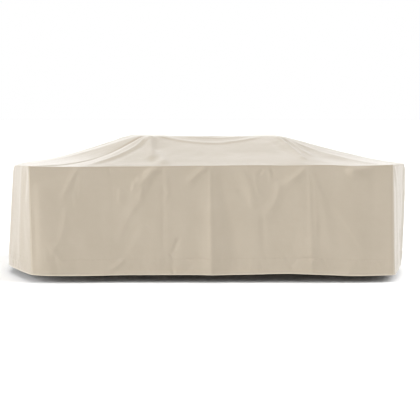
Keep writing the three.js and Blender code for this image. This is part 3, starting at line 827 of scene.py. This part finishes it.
@dataclass(frozen=True)
class Top:
    """The top panel, modelled along lines that run from the crown out to each point of the top seam.

    Attributes:
        name: Its node in the construction model.
        spine: The two ends of the crown's middle line, close to which the lines begin.
        spine_offset: Where they begin, as a share of the way from that line to the crown's edge.
        crown_rings: How many rings of its mesh lie in the crown.
        slope_rings: How many lie on the slopes.
        ring_growth: Above 1, the rings stand closer together near the crown.
        folds: Its main folds, which the construction model has too.
        creases: Its finer folds, which may reach into the crown.
        ripples: Its uneven ripples.
    """

    name: str = "top"
    spine: tuple[Pair, Pair] = ((-500.0, 8.0), (430.0, 6.0))
    spine_offset: float = 0.03
    crown_rings: int = 9
    slope_rings: int = 45
    ring_growth: float = 1.35
    folds: tuple[Fold, ...] = (
        Fold((-560, -95), (-1380, -1000), 26, (22, 30), -9, slant=-0.2),
        Fold((-552, -215), (-1000, -975), 80, (20, 28), 7, crisp=0.4, slant=-0.3),
        Fold((-507, -170), (-462, -900), 0, (34, 40), 20, growth=0.8),
        Fold((-425, -560), (-345, -1010), 0, (38, 46), 2, slant=0.2, growth=9.0),
        Fold((-450, -150), (470, -150), -215, (30, 30), 8, crisp=0.3, slant=-0.4),
        Fold((-330, -130), (400, -130), -75, (22, 22), 5, crisp=0.2, slant=-0.3),
        Fold((550, -180), (735, -840), 10, (18, 30), 10, crisp=0.3),
        Fold((600, -180), (805, -740), 10, (18, 30), 9, crisp=0.3),
        Fold((590, -80), (1110, -780), -20, (28, 52), 3),
        Fold((560, -50), (1590, -350), 20, (36, 62), 2),
        Fold((575, 120), (880, 970), 10, (26, 46), 8),
        Fold((200, 130), (285, 970), 14, (36, 60), 6),
        Fold((500, 140), (-560, 140), -165, (50, 50), -7),
        Fold((-680, 140), (-780, 970), 0, (26, 46), 9),
        Fold((-715, 130), (-1380, 1000), -20, (24, 38), -8),
        Fold((-730, 100), (-1610, 330), -20, (36, 62), 6),
        Fold((-600, -50), (-1610, -330), 20, (36, 62), 2),
    )
    creases: tuple[Fold, ...] = (
        Fold((-515, -55), (-700, -250), 8, (16, 22), -6),
        Fold((-508, -260), (-930, -990), 66, (24, 36), -3.5),
        Fold((715, -770), (742, -870), 0, (22, 24), 9, crisp=0.2),
        Fold((650, -250), (790, -520), 0, (14, 20), 5, crisp=0.4),
        Fold((520, -330), (600, -700), 0, (30, 40), -5),
        Fold((470, 190), (330, 620), 0, (20, 34), 5, crisp=0.2),
        Fold((560, 190), (700, 700), -10, (18, 30), 5, crisp=0.3),
        Fold((-560, 210), (-440, 720), 0, (20, 34), 5, crisp=0.2),
        Fold((-700, 190), (-980, 640), 20, (18, 30), 6, crisp=0.3),
    )
    ripples: tuple[Ripples, ...] = (
        Ripples(Wave.SWELL, 4.0, (260.0, 260.0), 51),
        Ripples(Wave.CREASE, 2.0, (170.0, 170.0), 52),
    )

    def sheet(self, skirt_faces: list[Grid]) -> Sheet:
        """Gives the panel as a sheet.

        Args:
            skirt_faces: The outer face of each skirt, whose first row is its part of the top seam.

        Returns:
            The sheet, with one column for each point of the seam.
        """
        seam = np.concatenate([face[0, :-1] for face in skirt_faces])
        crown, hollow, run = (np.concatenate(parts) for parts in zip(*map(self.slope_of, SKIRTS)))
        foot = crown + CROWN_BEND * unit(seam[:, :2] - crown)
        start = self.spine_points(foot)
        reach = np.linalg.norm(seam[:, :2] - foot, axis=1)

        inner = np.linspace(0.0, 1.0, self.crown_rings, endpoint=False)[:, None]
        rings = np.linspace(0.0, 1.0, self.slope_rings, endpoint=False)[:, None] ** self.ring_growth
        sewn = np.array(SEAM_STEPS[::-1])[:, None]
        out = np.concatenate([0.0 * inner + 0.0 * reach, rings * (1.0 - sewn[0] / reach), 1.0 - sewn / reach])
        plan = lerp(foot, seam[:, :2], out[..., None])
        plan[: self.crown_rings] = lerp(start, foot, inner[..., None])
        x, y = plan[..., 0], plan[..., 1]

        sag_x = np.where(out > 0.0, foot[:, 0], x)
        level = CROWN_TOP + CROWN_SAG * (sag_x / CROWN_HALF) ** 2
        height = (level - seam[:, 2]) * (1.0 - fallen(out)) ** hollow
        distance = (1.0 - out) * reach
        relief = self.relief(x, y, out, distance)
        outer = np.stack([x, y, seam[:, 2] + height + relief], axis=-1)
        seam_map = np.stack([np.broadcast_to(run, out.shape), distance], axis=-1) * MM
        return Sheet(self.name, outer, np.full(len(out), CLOTH), True, plan * MM, seam_map)

    def slope_of(self, skirt: Skirt) -> tuple[Grid, Grid, Grid]:
        """Gives where the slope above a skirt begins.

        Args:
            skirt: The skirt.

        Returns:
            For each column of the skirt but the last, the point of the crown, how hollow the slope is,
            and the place along the skirt.
        """
        along = skirt.along[:-1]
        first, last = skirt.landings
        part = np.clip((along - first) / (last - first), 0.0, 1.0)[:, None]
        crown = lerp(np.array(skirt.start.crown), np.array(skirt.end.crown), part)
        return crown, skirt.station("hollow", along), along

    def spine_points(self, foot: Grid) -> Grid:
        """Returns where the lines begin: close round the crown's middle line, on the side of their foot."""
        start, end = np.array(self.spine)
        run = end - start
        share = np.clip((foot - start) @ run / (run @ run), 0.0, 1.0)[:, None]
        nearest = start + run * share
        return lerp(nearest, foot, self.spine_offset)

    def relief(self, x: Grid, y: Grid, out: Grid, distance: Grid) -> Grid:
        """Returns how far its folds, ripples and sewing stand up at points of it."""
        calm = smoothstep(out, 0.0, CROWN_CALM) * smoothstep(1.0 - out, 0.0, SEAM_CALM)
        fine_calm = smoothstep(distance, 0.0, RIPPLE_CALM)
        fine = height_of(self.creases, x, y) + height_of(self.ripples, x, y)
        return calm * height_of(self.folds, x, y) + fine_calm * fine + seam_relief(distance)


def srgb(colour: str) -> tuple[float, float, float, float]:
    """Returns an sRGB hex colour as linear red, green, blue and alpha."""
    parts = [int(colour[i : i + 2], 16) / 255.0 for i in (0, 2, 4)]
    linear = [c / 12.92 if c <= 0.04045 else ((c + 0.055) / 1.055) ** 2.4 for c in parts]
    return (*linear, 1.0)


def add_node(tree: Tree, kind: str, inputs: dict | None = None, **settings: object) -> bpy.types.Node:
    """Adds a node with its settings, values and links.

    Args:
        tree: The node tree.
        kind: The node's type.
        inputs: For each input, by name or number, its value or the socket that it is linked to.
        **settings: The node's own settings.

    Returns:
        The node.
    """
    node = tree.nodes.new(kind)
    for name, value in settings.items():
        setattr(node, name, value)
    for name, value in (inputs or {}).items():
        if isinstance(value, Socket):
            tree.links.new(value, node.inputs[name])
        else:
            node.inputs[name].default_value = value
    return node


def new_material(name: str) -> bpy.types.Material:
    """Returns a material with an empty node tree."""
    material = bpy.data.materials.new(name)
    material.use_nodes = True
    material.node_tree.nodes.clear()
    return material


@dataclass(frozen=True)
class CoatedCanvas:
    """Polyester canvas, woven plain and coated inside, which gives a matt, tight, slightly dusty beige.

    Attributes:
        colour: The dyed cloth.
        worn_colour: The same where rubbing has made it paler.
        thread_colour: The sewing thread.
        rubbed_and_highlit_colour: The fold along a hem or a seam: worn palest of all, and a painted highlight
            where that fold catches the light.
        thread_pitch: Between two threads, in millimetres. The real 0.5 mm is too fine to show, so the
            weave is drawn this coarse.
        thread_height: How far a thread rides up over the others, in millimetres.
        stitch: Length of a stitch and its gap, in millimetres.
        stitch_part: The stitch's own share of that length.
        stitch_half: Half the width of the thread, in millimetres.
        stitch_height: How far it stands out, in millimetres.
        crumple_height: Height of the fine crumpling of the coating, in millimetres.
        crumple_scale: How many of its humps go to a metre.
        shade_scale: How many paler patches go to a metre.
        wear_and_highlight_shares: How much more an edge is worn and carries its painted highlight in the
            paler patches, and how much everywhere.
        seam_wear_and_highlight: How much a seam is worn and carries its painted highlight, where a hem's edge
            is 1.
        seam_reach: How far from a seam the wear and painted highlight reach, in millimetres.
        hem_reach: How far from the hem's edge the wear and painted highlight reach, in millimetres.
        roughness: Of the uncoated outer face.
        sheen: Of the fine fibre ends, which pale the cloth at a flat angle.
        sheen_roughness: How widely they scatter the light.
    """

    colour: str = "978D7D"
    worn_colour: str = "A19788"
    thread_colour: str = "958B7A"
    # Paler than the cloth: wear, and a painted highlight along the folded edges of the hem and the seams
    rubbed_and_highlit_colour: str = "C2B9A8"
    thread_pitch: float = 2.0
    thread_height: float = 0.08
    stitch: float = 4.0
    stitch_part: float = 0.75
    stitch_half: float = 0.7
    stitch_height: float = 0.4
    crumple_height: float = 1.6
    crumple_scale: float = 22.0
    shade_scale: float = 3.0
    wear_and_highlight_shares: Pair = (0.6, 0.6)
    seam_wear_and_highlight: float = 0.15
    seam_reach: float = 6.0
    hem_reach: float = 11.0
    roughness: float = 0.8
    sheen: float = 0.6
    sheen_roughness: float = 0.4

    def material(self, name: str, hemmed: bool) -> bpy.types.Material:
        """Makes the canvas of one panel.

        Args:
            name: The material's name.
            hemmed: Whether the panel has a stitched hem.

        Returns:
            The material.
        """
        material = new_material(name)
        tree = material.node_tree
        cloth = add_node(tree, "ShaderNodeUVMap", uv_map=CLOTH_MAP).outputs[0]
        weave = self.weave(tree, cloth)
        stitches = self.stitches(tree, cloth, hemmed)
        crumple = self.noise(tree, cloth, self.crumple_scale, detail=3.0, roughness=0.5)

        height = self.maths(tree, "MULTIPLY", weave, self.thread_height * MM)
        height = self.maths(tree, "MULTIPLY_ADD", crumple, self.crumple_height * MM, height)
        height = self.maths(tree, "MULTIPLY_ADD", stitches, self.stitch_height * MM, height)
        bump_inputs = {"Strength": 1.0, "Distance": 1.0, "Height": height}
        relief = add_node(tree, "ShaderNodeBump", bump_inputs).outputs[0]

        shade = self.noise(tree, cloth, self.shade_scale, detail=4.0, roughness=0.6)
        colour = self.mixed(tree, shade, srgb(self.colour), srgb(self.worn_colour))
        # Pales the hem's edge and the seams: partly wear, partly a painted highlight where those folds catch
        # the light
        colour = self.mixed(tree, self.edge_wear_and_highlight(tree, cloth, shade, hemmed), colour, srgb(self.rubbed_and_highlit_colour))
        colour = self.mixed(tree, stitches, colour, srgb(self.thread_colour))
        shader = add_node(
            tree, "ShaderNodeBsdfPrincipled",
            {"Base Color": colour, "Roughness": self.roughness, "Normal": relief,
             "Sheen Weight": self.sheen, "Sheen Roughness": self.sheen_roughness},
        ).outputs[0]
        add_node(tree, "ShaderNodeOutputMaterial", {"Surface": shader})
        return material

    def weave(self, tree: Tree, cloth: Socket) -> Socket:
        """Returns the height of a plain weave, from -1 where threads dip to 1 where they ride up."""
        turns = {0: cloth, "Scale": tau / (2.0 * self.thread_pitch * MM)}
        phase = add_node(tree, "ShaderNodeVectorMath", turns, operation="SCALE").outputs[0]
        axes = add_node(tree, "ShaderNodeSeparateXYZ", {0: phase}).outputs
        warp, weft = (self.maths(tree, "SINE", axis) for axis in axes[:2])
        return self.maths(tree, "MULTIPLY", warp, weft)

    def edge_wear_and_highlight(self, tree: Tree, cloth: Socket, shade: Socket, hemmed: bool) -> Socket:
        """Gives where the folded edges of the cloth are worn pale and carry a painted highlight.

        Args:
            tree: The node tree.
            cloth: The place on the cloth.
            shade: The noise that its colour follows.
            hemmed: Whether the panel has a stitched hem.

        Returns:
            About 1 where the wear and painted highlight are strongest and 0 where there are none.
        """
        seam = add_node(tree, "ShaderNodeUVMap", uv_map=SEAM_MAP).outputs[0]
        wear_and_highlight = self.maths(tree, "MULTIPLY", self.near_edge(tree, seam, self.seam_reach * MM), self.seam_wear_and_highlight)
        if hemmed:
            wear_and_highlight = self.maths(tree, "MAXIMUM", wear_and_highlight, self.near_edge(tree, cloth, self.hem_reach * MM))
        return self.maths(tree, "MULTIPLY", wear_and_highlight, self.maths(tree, "MULTIPLY_ADD", shade, *self.wear_and_highlight_shares))

    def stitches(self, tree: Tree, cloth: Socket, hemmed: bool) -> Socket:
        """Gives where the sewing thread lies on the cloth.

        Args:
            tree: The node tree.
            cloth: The place on the cloth.
            hemmed: Whether the panel has a stitched hem.

        Returns:
            1 on a stitch and 0 beside it.
        """
        seam = add_node(tree, "ShaderNodeUVMap", uv_map=SEAM_MAP).outputs[0]
        thread = self.stitch_line(tree, seam, TOPSTITCH * MM)
        if hemmed:
            thread = self.maths(tree, "MAXIMUM", thread, self.stitch_line(tree, cloth, HEM_DEPTH * MM))
        return thread

    def stitch_line(self, tree: Tree, place: Socket, offset: float) -> Socket:
        """Gives one line of stitches.

        Args:
            tree: The node tree.
            place: A map whose first number runs along the line and whose second runs across it.
            offset: Where the line lies on the second one, in metres.

        Returns:
            1 on a stitch and 0 beside it.
        """
        axes = add_node(tree, "ShaderNodeSeparateXYZ", {0: place}).outputs
        near = self.maths(tree, "COMPARE", axes[1], offset, self.stitch_half * MM)
        part = self.maths(tree, "FRACT", self.maths(tree, "DIVIDE", axes[0], self.stitch * MM))
        return self.maths(tree, "MULTIPLY", near, self.maths(tree, "LESS_THAN", part, self.stitch_part))

    @staticmethod
    def near_edge(tree: Tree, place: Socket, reach: float) -> Socket:
        """Returns 1 at an edge, where the map's second number is 0, and 0 from the reach on."""
        axes = add_node(tree, "ShaderNodeSeparateXYZ", {0: place}).outputs
        turned = {"Value": axes[1], "From Min": 0.0, "From Max": reach, "To Min": 1.0, "To Max": 0.0}
        return add_node(tree, "ShaderNodeMapRange", turned).outputs[0]

    @staticmethod
    def noise(tree: Tree, place: Socket, scale: float, detail: float, roughness: float) -> Socket:
        """Returns soft noise from 0 to 1."""
        inputs = {"Vector": place, "Scale": scale, "Detail": detail, "Roughness": roughness}
        return add_node(tree, "ShaderNodeTexNoise", inputs).outputs[0]

    @staticmethod
    def mixed(tree: Tree, share: Socket, first: object, second: object) -> Socket:
        """Returns two colours mixed, at share 0 the first."""
        inputs = {0: share, 6: first, 7: second}  # 6 and 7 are the mix node's inputs for colours
        return add_node(tree, "ShaderNodeMix", inputs, data_type="RGBA").outputs[2]

    @staticmethod
    def maths(tree: Tree, operation: str, *values: object) -> Socket:
        """Returns the outcome of one sum."""
        return add_node(tree, "ShaderNodeMath", dict(enumerate(values)), operation=operation).outputs[0]


@dataclass(frozen=True)
class Cover:
    """The whole cover: its skirts, its top and their canvas.

    Attributes:
        skirts: The four skirts, anticlockwise seen from above, from the front one on.
        top: The top panel.
        canvas: What all of them are cut from.
        top_cut: The width and length that the top was cut to, in metres. It is not used.
    """

    skirts: tuple[Skirt, ...] = SKIRTS
    top: Top = Top()
    canvas: CoatedCanvas = CoatedCanvas()
    top_cut: Pair = (3.26, 2.11)

    def build(self) -> list[bpy.types.Object]:
        """Builds and dresses every panel.

        Returns:
            The panels, the top first.
        """
        skirt_sheets = [self.skirt_sheet(skirt) for skirt in self.skirts]
        sheets = [self.top.sheet([sheet.outer for sheet in skirt_sheets]), *skirt_sheets]
        pieces = [sheet.build(mitre) for sheet, mitre in zip(sheets, mitred(sheets))]
        top_canvas = self.canvas.material("Coated polyester canvas, top", hemmed=False)
        skirt_canvas = self.canvas.material("Coated polyester canvas, hemmed skirt", hemmed=True)
        for piece, sheet in zip(pieces, sheets):
            piece.data.materials.append(top_canvas if sheet.closed else skirt_canvas)
            self.declare(piece, sheet)
            LOG.info("%s stands for %s, %d faces", piece.name, sheet.name, len(piece.data.polygons))
        return pieces

    def skirt_sheet(self, skirt: Skirt) -> Sheet:
        """Gives a skirt as a sheet, with its hem folded round at the bottom.

        Args:
            skirt: The skirt.

        Returns:
            The sheet.
        """
        near = np.array(SEAM_STEPS)
        stitch = STITCH_LINE + np.array(HEM_STEPS)
        edge = SKIRT_DROP - np.array(HEM_EDGE_STEPS)
        fall = np.linspace(near[-1], stitch[0], FALL_ROWS)[1:-1]
        hem = np.linspace(stitch[-1], edge[0], HEM_ROWS)[1:-1]
        down = np.concatenate([near, fall, stitch, hem, edge, [SKIRT_DROP]])
        along = skirt.along
        outer = skirt.outer_face(along, down)

        hem_depth = CLOTH + HEM_LAYER
        turned = STITCH_LINE + TURN_RUN
        depth = lerp(CLOTH, hem_depth, smoothstep(down, STITCH_LINE, turned))
        round_edge = np.clip(1.0 - (SKIRT_DROP - down) / (hem_depth / 2.0), 0.0, 1.0)
        depth = depth * np.sqrt(1.0 - (EDGE_THINNING * round_edge) ** 2)
        tuck = (hem_depth - depth) / 2.0 * (down > turned)
        outer[..., :2] -= np.array(skirt.out) * tuck[:, None, None]

        to_corner = np.minimum(along, skirt.length - along)
        near_corner = to_corner < down[:, None]
        run = np.where(near_corner, down[:, None], along)
        distance = np.minimum(to_corner, down[:, None])
        cloth_map = np.stack(np.broadcast_arrays(along, SKIRT_DROP - down[:, None]), axis=-1) * MM
        return Sheet(skirt.name, outer, depth, False, cloth_map, np.stack([run, distance], axis=-1) * MM)

    def declare(self, piece: bpy.types.Object, sheet: Sheet) -> None:
        """Attaches a panel to the frame's root body and hides the node that it stands for.

        Args:
            piece: The panel.
            sheet: The sheet that it was made from.
        """
        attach(piece, "root")
        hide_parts(sheet.name)


@dataclass(frozen=True)
class SoftSun:
    """One wide soft light of the studio.

    Attributes:
        name: Its name.
        towards: The direction in which it lies, seen from the cover.
        strength: Its irradiance in watts per square metre.
        spread: The angle that it takes up, in degrees.
    """

    name: str
    towards: tuple[float, float, float]
    strength: float
    spread: float = 50.0

    def build(self) -> None:
        """Adds the light to the scene."""
        bpy.ops.object.light_add(type="SUN")
        light = bpy.context.object
        light.name = self.name
        light.rotation_euler = Vector(self.towards).to_track_quat("Z", "Y").to_euler()
        light.data.energy = self.strength
        light.data.angle = radians(self.spread)


@dataclass(frozen=True)
class Studio:
    """A plain pale floor, soft light and the camera.

    Attributes:
        suns: Its lights.
        sky_light: How bright the surroundings are as light.
        backdrop: How bright they look.
        camera_place: Where the camera stands, in metres.
        camera_tilt: How far it looks down, in degrees.
        lens: Its focal length in millimetres, on a frame 36 mm wide.
    """

    suns: tuple[SoftSun, ...] = (
        SoftSun("soft_light_left", (-0.95, -0.26, 0.2), 4.2),
        SoftSun("soft_light_right", (0.8, 0.0, 0.6), 2.7),
        SoftSun("soft_light_above", (0.0, 0.0, 1.0), 0.85),
        SoftSun("soft_light_behind", (0.0, 0.99, 0.12), 1.2),
        SoftSun("soft_light_front", (0.0, -0.87, 0.5), 1.5),
    )
    sky_light: float = 0.1
    backdrop: float = 1.0
    camera_place: tuple[float, float, float] = (-0.0058, -10.3955, 0.188)
    camera_tilt: float = 4.509
    lens: float = 104.35

    def build(self) -> None:
        """Builds the floor, the surroundings, the lights and the camera."""
        self.build_floor()
        self.build_surroundings()
        for sun in self.suns:
            sun.build()
        self.build_camera()
        bpy.context.scene.view_settings.view_transform = "Standard"

    def build_floor(self) -> None:
        """Builds the floor, a wide sheet of matt white paper."""
        bpy.ops.mesh.primitive_plane_add(size=400.0, location=(0.0, 0.0, -FLOOR_DROP * MM))
        floor = bpy.context.object
        floor.name = "studio_floor"
        material = new_material("Matt white paper")
        tree = material.node_tree
        look = {"Base Color": srgb("FAFAFA"), "Roughness": 0.9}
        paper = add_node(tree, "ShaderNodeBsdfPrincipled", look).outputs[0]
        add_node(tree, "ShaderNodeOutputMaterial", {"Surface": paper})
        floor.data.materials.append(material)

    def build_surroundings(self) -> None:
        """Builds the surroundings: a soft even light that looks plain white itself."""
        world = bpy.data.worlds.new("studio")
        world.use_nodes = True
        tree = world.node_tree
        tree.nodes.clear()
        light = add_node(tree, "ShaderNodeBackground", {"Strength": self.sky_light}).outputs[0]
        white = add_node(tree, "ShaderNodeBackground", {"Strength": self.backdrop}).outputs[0]
        for background in (light.node, white.node):
            background.inputs["Color"].default_value = srgb("FFFFFF")
        seen = add_node(tree, "ShaderNodeLightPath").outputs["Is Camera Ray"]
        both = add_node(tree, "ShaderNodeMixShader", {0: seen, 1: light, 2: white}).outputs[0]
        add_node(tree, "ShaderNodeOutputWorld", {"Surface": both})
        bpy.context.scene.world = world

    def build_camera(self) -> None:
        """Sets up the camera in front of the cover, from where the photograph shows it."""
        turn = (radians(90.0 - self.camera_tilt), 0.0, 0.0)
        bpy.ops.object.camera_add(location=self.camera_place, rotation=turn)
        camera = bpy.context.object
        camera.data.lens = self.lens
        camera.data.sensor_width = 36.0
        camera.data.clip_end = 500.0
        bpy.context.scene.camera = camera


def main() -> None:
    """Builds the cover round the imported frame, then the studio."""
    logging.basicConfig(level=logging.INFO, format="%(name)s: %(message)s")
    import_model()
    Cover().build()
    Studio().build()


if __name__ == "__main__":
    main()
